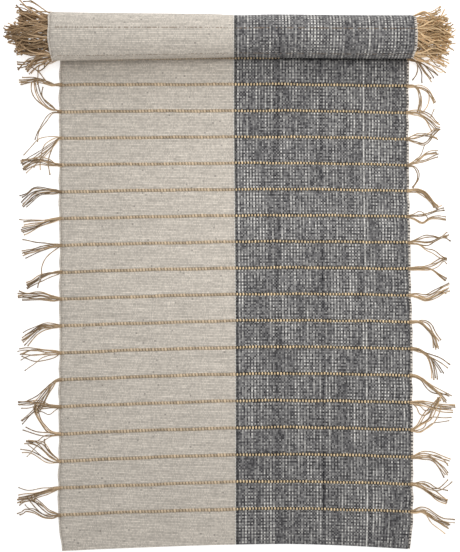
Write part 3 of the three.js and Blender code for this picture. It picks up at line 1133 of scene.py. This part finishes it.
@dataclass
class Tassel:
    """Loose jute yarns that stick out past one selvedge at one inlay."""

    shape: ClothShape
    side: Side
    row: int
    yarn_radius: float = 0.00108
    steps: int = 26
    sides: int = 6
    inset: float = 0.006
    first_seed: int = 9000

    def build(self, material: bpy.types.Material) -> bpy.types.Object:
        """Makes the yarns of the tassel.

        Args:
            material: the finish of the jute.

        Returns:
            The new piece.
        """
        rng = np.random.default_rng(self.first_seed + 100 * self.row + self.side.value)
        mesh = PieceMesh(f"tassel_{self.side.name.lower()}_{self.row + 1:02d}")
        for path in self.paths(rng):
            self.add_yarn(mesh, path, rng)
        return mesh.build(material, "jute")

    def paths(self, rng: np.random.Generator) -> Iterable[np.ndarray]:
        """Paths of the tassel's yarns."""
        raise NotImplementedError

    def root(self, inset: float, above: float) -> np.ndarray:
        """Point over the cloth where the yarns come out, an inset in from its edge."""
        across = self.side.value * (self.shape.half_width - inset)
        along = self.shape.inlay_along(self.row)
        return self.shape.place(np.array(across), np.array(along), np.array(self.shape.thickness + above))

    def add_yarn(self, mesh: PieceMesh, path: np.ndarray, rng: np.random.Generator) -> None:
        """Adds one yarn along a path, uneven along its length and cut blunt.

        Args:
            mesh: the tassel's mesh.
            path: points of the yarn's middle.
            rng: source of its small differences.
        """
        share = np.linspace(0, 1, len(path))
        radius = self.yarn_radius * rng.uniform(0.82, 1.15) * (
            1 + 0.10 * np.sin(share * rng.uniform(20, 40) + rng.uniform(0, 6))
            + 0.40 * np.clip((share - 0.95) / 0.05, 0, 1))
        rings = tube_rings(path, radius, self.sides)
        length = np.cumsum(np.linalg.norm(np.gradient(path, axis=0), axis=1))
        turn = np.arange(self.sides + 1) / self.sides * 2 * math.pi * self.yarn_radius
        weave = np.stack(np.broadcast_arrays(length[:, None], turn[None, :]), axis=-1)
        # Painted shade and light: each yarn gets a random share between the finish's shaded and lit colours,
        # drifting along its length.
        shade = np.clip(rng.uniform(0.05, 0.85) + 0.25 * np.sin(share * rng.uniform(3, 9)), 0, 1)
        mesh.add_tube(rings, weave, bulge=shade[:, None], tone=rng.uniform(0, 1), dark_warp=0.0)


@dataclass
class LaidTassel(Tassel):
    """Tassel of an inlay on the flat, whose yarns lie on the floor in a few locks."""

    locks: Sequence[Lock] = ()
    root_width: float = 0.0066
    wander: float = 0.0012
    fall_length: float = 0.020

    def paths(self, rng: np.random.Generator) -> Iterable[np.ndarray]:
        """Paths from over the selvedge down to the floor and along it."""
        root = self.root(self.inset, 0.0)
        total = sum(lock.yarns for lock in self.locks)
        index = 0
        for lock in self.locks:
            course = np.array([(-1000 * self.inset, 0.0), (0.0, 0.0), *lock.course]) / 1000
            for place in range(lock.yarns):
                reach = rng.uniform(0.94, 1.01)
                middle = smooth_course(course, self.steps * 2)
                middle = middle[: int(len(middle) * min(reach, 1.0))]
                share = np.linspace(0, 1, len(middle))
                ahead = np.gradient(middle, axis=0)
                ahead /= np.linalg.norm(ahead, axis=1, keepdims=True)
                aside = np.stack([-ahead[:, 1], ahead[:, 0]], axis=-1)
                slot = (place - (lock.yarns - 1) / 2) / max(lock.yarns - 1, 1)
                bundle = ((index + 0.5) / total - 0.5) * self.root_width
                spread = lock.spread / 1000 * slot * (0.55 + 0.60 * share**1.3)
                wander = self.wander * np.sin(share * rng.uniform(5, 11) + rng.uniform(0, 6))
                loose = smooth(share, 0.08, 0.35)
                shift = bundle * (1 - loose) + (spread + wander) * loose
                flat = (middle + aside * shift[:, None])[::2]
                run = share[::2] * np.linalg.norm(np.diff(middle, axis=0), axis=1).sum()
                fall = smooth(run, self.inset, self.inset + self.fall_length)
                stack = self.yarn_radius * (1.05 + 1.5 * ((index * 5 + self.row) % 3))
                start = self.yarn_radius * (0.4 + 1.7 * (index % 2))
                height = (root[2] + start) * (1 - fall) + stack * fall
                yield np.stack([root[0] + self.side.value * (flat[:, 0] + self.inset),
                                root[1] - flat[:, 1], height], axis=-1)
                index += 1


@dataclass(frozen=True)
class Bunch:
    """A clump that the tassels at one end of the roll gather into.

    Heights and offsets along the rug are from the middle of the roll's end.
    """

    aside: float
    up: float
    reach: float
    spread: float


@dataclass
class RollTassel(Tassel):
    """Tassel of an inlay wound into the roll, part of the brush at the roll's end."""

    bunches: Sequence[Bunch] = ()
    curl: float = 0.0045
    strands: int = 4
    yarns_in_strand: int = 2
    gather: float = 0.018
    bend: float = 0.010
    root_inset: float = 0.004
    root_sink: float = 0.002

    def paths(self, rng: np.random.Generator) -> Iterable[np.ndarray]:
        """Paths that leave the roll's end in strands, gather into bunches and part at the tips."""
        root = self.root(self.root_inset, -self.root_sink)
        axis = np.array([self.shape.front_y + self.shape.flat, self.shape.mid_radius])
        ends = np.array([(bunch.aside, bunch.up) for bunch in self.bunches])
        off = np.abs(ends * (1.0, 0.3) - (root[1:] - axis) * (1.15, 0.3)).sum(axis=1)
        odds = np.exp(-off / self.gather)
        share = np.linspace(0, 1, self.steps)[:, None]
        for _ in range(self.strands):
            bunch = self.bunches[rng.choice(len(self.bunches), p=odds / odds.sum())]
            end = axis + (bunch.aside, bunch.up)
            bend = rng.normal(0, self.bend, 2)
            beat, phase, turn = rng.uniform(1.5, 3.4), rng.uniform(0, 6), rng.uniform(0, 2 * math.pi)
            for _ in range(self.yarns_in_strand):
                reach = bunch.reach * rng.uniform(0.84, 1.04)
                tip = end + rng.normal(0, 1.6 * bunch.spread, 2)
                start = root[1:] + rng.uniform(-0.0018, 0.0018, 2)
                middle = 0.5 * start + 0.5 * end + bend + rng.normal(0, 0.003, 2)
                plane = (1 - share) ** 2 * start + 2 * share * (1 - share) * middle + share**2 * tip
                beat_of_yarn = beat * rng.uniform(0.85, 1.15)
                wave = self.curl * np.sin(share * math.pi * beat_of_yarn + phase) * share
                plane = plane + wave * (math.cos(turn), math.sin(turn))
                plane[:, 1] = np.clip(plane[:, 1], 1.3 * self.yarn_radius, 2.12 * self.shape.mid_radius)
                out = root[0] + self.side.value * reach * share[:, 0]
                yield np.column_stack([out, plane])


NATURAL_END_BUNCHES = (
    Bunch(0.070, 0.024, 0.070, 0.003), Bunch(0.061, 0.022, 0.058, 0.003),
    Bunch(0.050, 0.018, 0.078, 0.003), Bunch(0.037, 0.012, 0.074, 0.003),
    Bunch(0.024, 0.012, 0.073, 0.003), Bunch(0.014, 0.018, 0.080, 0.004),
    Bunch(0.008, 0.020, 0.098, 0.003), Bunch(-0.004, 0.014, 0.098, 0.004),
    Bunch(-0.012, 0.008, 0.090, 0.003), Bunch(-0.018, 0.000, 0.080, 0.003),
    Bunch(-0.028, -0.002, 0.082, 0.003), Bunch(-0.056, -0.012, 0.080, 0.003),
    Bunch(-0.063, -0.018, 0.070, 0.003), Bunch(-0.074, -0.030, 0.045, 0.004),
)
MELANGE_END_BUNCHES = (
    Bunch(0.040, 0.012, 0.058, 0.005), Bunch(0.030, 0.012, 0.068, 0.006),
    Bunch(0.017, 0.020, 0.074, 0.006), Bunch(0.005, 0.020, 0.085, 0.006),
    Bunch(-0.009, 0.012, 0.078, 0.007), Bunch(-0.024, 0.004, 0.082, 0.007),
    Bunch(-0.036, -0.004, 0.074, 0.006), Bunch(-0.046, -0.014, 0.072, 0.005),
    Bunch(-0.059, -0.020, 0.078, 0.004),
)


# ---------------------------------------------------------------- the rug and its surroundings


INLAY_JUTE = JuteFinish("jute_inlay", (0.12, 0.085, 0.05, 1), (0.71, 0.56, 0.39, 1))
LAID_JUTE = {
    Side.CREAM: JuteFinish("jute_brown", (0.20, 0.13, 0.07, 1), (0.56, 0.41, 0.26, 1)),
    Side.GREY: JuteFinish("jute_golden", (0.25, 0.165, 0.085, 1), (0.62, 0.455, 0.285, 1)),
}
# The brush copies of the jute are lighter than the laid ones: painted light that offsets the shade the
# brush's yarns cast on each other.
LIT_BRUSH_JUTE = {
    Side.CREAM: JuteFinish("jute_brown_lit_brush", (0.24, 0.15, 0.075, 1), (0.62, 0.44, 0.27, 1)),
    Side.GREY: JuteFinish("jute_golden_lit_brush", (0.46, 0.31, 0.155, 1), (0.86, 0.63, 0.38, 1)),
}


@dataclass
class RunnerRug:
    """The whole rug: two fields, two selvedges, the jute bundles and their tassels."""

    shape: ClothShape

    def build(self) -> None:
        shape = self.shape
        lines = InlayLines(shape.inlay_pitch, shape.front_margin, shape.inlay_count)
        natural = ClothField(shape, "natural_cloth", "cream_field", "cotton")
        cream = natural.build(CottonFinish(lines).material())
        melange = ClothField(shape, "melange_cloth", "grey_field", "melange")
        grey = melange.build(MelangeFinish(lines, shape.half_width).material())
        log.info("cloth: %s, %s", cream.name, grey.name)
        low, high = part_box("grey_selvedge")
        plain = Selvedge(shape, Side.CREAM, "selvedge_natural", "cream_selvedge", "cotton_edge")
        speckled = Selvedge(shape, Side.GREY, "selvedge_speckled", "grey_selvedge", "melange_edge")
        edges = [plain.build(PlainEdgeFinish().material()),
                 speckled.build(SpeckledEdgeFinish(low.x, high.x).material())]
        log.info("selvedges: %s", [piece.name for piece in edges])
        inlay_jute = INLAY_JUTE.material()
        laid_jute = {side: finish.material() for side, finish in LAID_JUTE.items()}
        lit_brush_jute = {side: finish.material() for side, finish in LIT_BRUSH_JUTE.items()}
        bundles = [JuteInlay(shape, row).build(inlay_jute) for row in range(shape.inlay_count)]
        log.info("jute bundles: %d", len(bundles))
        laid = shape.flat_row_count
        tassels = {side: [self.tassel(row, side).build((laid_jute if row < laid else lit_brush_jute)[side])
                          for row in range(shape.inlay_count)] for side in Side}
        log.info("tassels: %d", sum(map(len, tassels.values())))
        width = [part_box(node)[1].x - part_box(node)[0].x for node in ("cream_field", "grey_field")]
        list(tassels[Side.CREAM])
        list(tassels[Side.GREY])

    def tassel(self, row: int, side: Side) -> Tassel:
        """Tassel of one inlay on one side."""
        if row < self.shape.flat_row_count:
            laid = NATURAL_SIDE_LOCKS if side is Side.CREAM else MELANGE_SIDE_LOCKS
            return LaidTassel(self.shape, side, row, locks=laid[row])
        if side is Side.CREAM:
            return RollTassel(self.shape, side, row, yarn_radius=0.00126, bunches=NATURAL_END_BUNCHES)
        return RollTassel(self.shape, side, row, yarn_radius=0.00112, bunches=MELANGE_END_BUNCHES,
                          curl=0.0095, gather=0.020)


@dataclass
class Studio:
    """Plain pale floor, soft surroundings, one lamp overhead, and the camera."""

    shape: ClothShape
    camera_height: float = 1.95
    camera_tilt: float = math.radians(2.0)
    camera_lens: float = 59.74
    camera_aside: float = -0.0108
    camera_along: float = 0.4971
    floor_reach: float = 60.0
    floor_level: float = -0.0003
    floor_glow: float = 0.5
    world_strength: float = 1.13
    world_lean: tuple[float, float, float] = (0.06, 0.38, -0.55)
    lamp_energy: float = 84.0
    lamp_size: float = 0.5
    lamp_cone: float = math.radians(44)
    lamp_place: tuple[float, float, float] = (0.11, 0.33, 2.2)
    lamp_stretch: tuple[float, float, float] = (0.8, 1.3, 1.0)

    def build(self) -> None:
        """Builds floor, surroundings, lamp and camera."""
        self.floor()
        self.surroundings()
        self.lamp()
        self.camera()

    def floor(self) -> None:
        """Large plain floor just under the rug."""
        graph = Graph("pale_floor")
        place = graph.node("ShaderNodeTexCoord").outputs["Object"]
        grain = graph.node("ShaderNodeTexNoise")
        graph.feed(grain.inputs["Vector"], place)
        grain.inputs["Scale"].default_value = 3.0
        tones = ((0.0, (0.86, 0.86, 0.86, 1)), (1.0, (0.90, 0.90, 0.90, 1)))
        colour = graph.ramp(grain.outputs["Fac"], tones)
        graph.shader.inputs["Emission Color"].default_value = (1.0, 1.0, 1.0, 1.0)
        graph.shader.inputs["Emission Strength"].default_value = self.floor_glow
        graph.finish(colour, grain.outputs["Fac"], 0.0001, 0.9)
        mesh = bpy.data.meshes.new("floor")
        reach = self.floor_reach
        corners = [(x * reach, y * reach, self.floor_level) for x, y in ((-1, -1), (1, -1), (1, 1), (-1, 1))]
        mesh.from_pydata(corners, [], [(0, 1, 2, 3)])
        mesh.materials.append(graph.material)
        floor = bpy.data.objects.new("floor", mesh)
        bpy.context.scene.collection.objects.link(floor)
        floor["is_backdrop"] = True
        log.info("floor: %s", floor.name)

    def surroundings(self) -> None:
        """White surroundings, brightest low down and beyond the roll, darker overhead."""
        scene = bpy.context.scene
        scene.view_settings.view_transform = "Standard"
        world = bpy.data.worlds.new("studio")
        world.use_nodes = True
        tree = world.node_tree
        direction = tree.nodes.new("ShaderNodeTexCoord").outputs["Generated"]
        gradient = tree.nodes.new("ShaderNodeVectorMath")
        gradient.operation = "DOT_PRODUCT"
        tree.links.new(direction, gradient.inputs[0])
        gradient.inputs[1].default_value = self.world_lean
        strength = tree.nodes.new("ShaderNodeMath")
        tree.links.new(gradient.outputs["Value"], strength.inputs[0])
        strength.inputs[1].default_value = self.world_strength
        tree.links.new(strength.outputs[0], tree.nodes["Background"].inputs["Strength"])
        tree.nodes["Background"].inputs["Color"].default_value = (1.0, 1.0, 1.0, 1.0)
        scene.world = world

    def lamp(self) -> None:
        """Soft spot overhead, over the middle of the melange half."""
        data = bpy.data.lights.new("overhead_lamp", "SPOT")
        data.energy = self.lamp_energy
        data.shadow_soft_size = self.lamp_size
        data.spot_size = self.lamp_cone
        data.spot_blend = 1.0
        lamp = bpy.data.objects.new("overhead_lamp", data)
        lamp.location = self.lamp_place
        lamp.scale = self.lamp_stretch
        lamp.visible_camera = False
        bpy.context.scene.collection.objects.link(lamp)
        log.info("lamp: %s", lamp.name)

    def camera(self) -> None:
        """Camera overhead, leaning slightly towards the roll."""
        data = bpy.data.cameras.new("overhead")
        data.lens = self.camera_lens
        camera = bpy.data.objects.new("overhead", data)
        camera.location = (self.camera_aside, self.shape.front_y + self.camera_along, self.camera_height)
        camera.rotation_euler = (self.camera_tilt, 0.0, 0.0)
        bpy.context.scene.collection.objects.link(camera)
        bpy.context.scene.camera = camera
        log.info("camera: %s", camera.name)


def write_sizes() -> None:
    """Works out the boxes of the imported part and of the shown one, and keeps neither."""
    boxes = {"cad": CAD_BOX, "visual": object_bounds()}
    {key: [list(corner) for corner in box] for key, box in boxes.items()}


def main() -> None:
    """Builds the studio and the rug."""
    logging.basicConfig(level=logging.INFO, format="%(name)s: %(message)s")
    shape = ClothShape(front_y=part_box("cream_field")[0].y)
    Studio(shape).build()
    RunnerRug(shape).build()
    write_sizes()


if __name__ == "__main__":
    main()
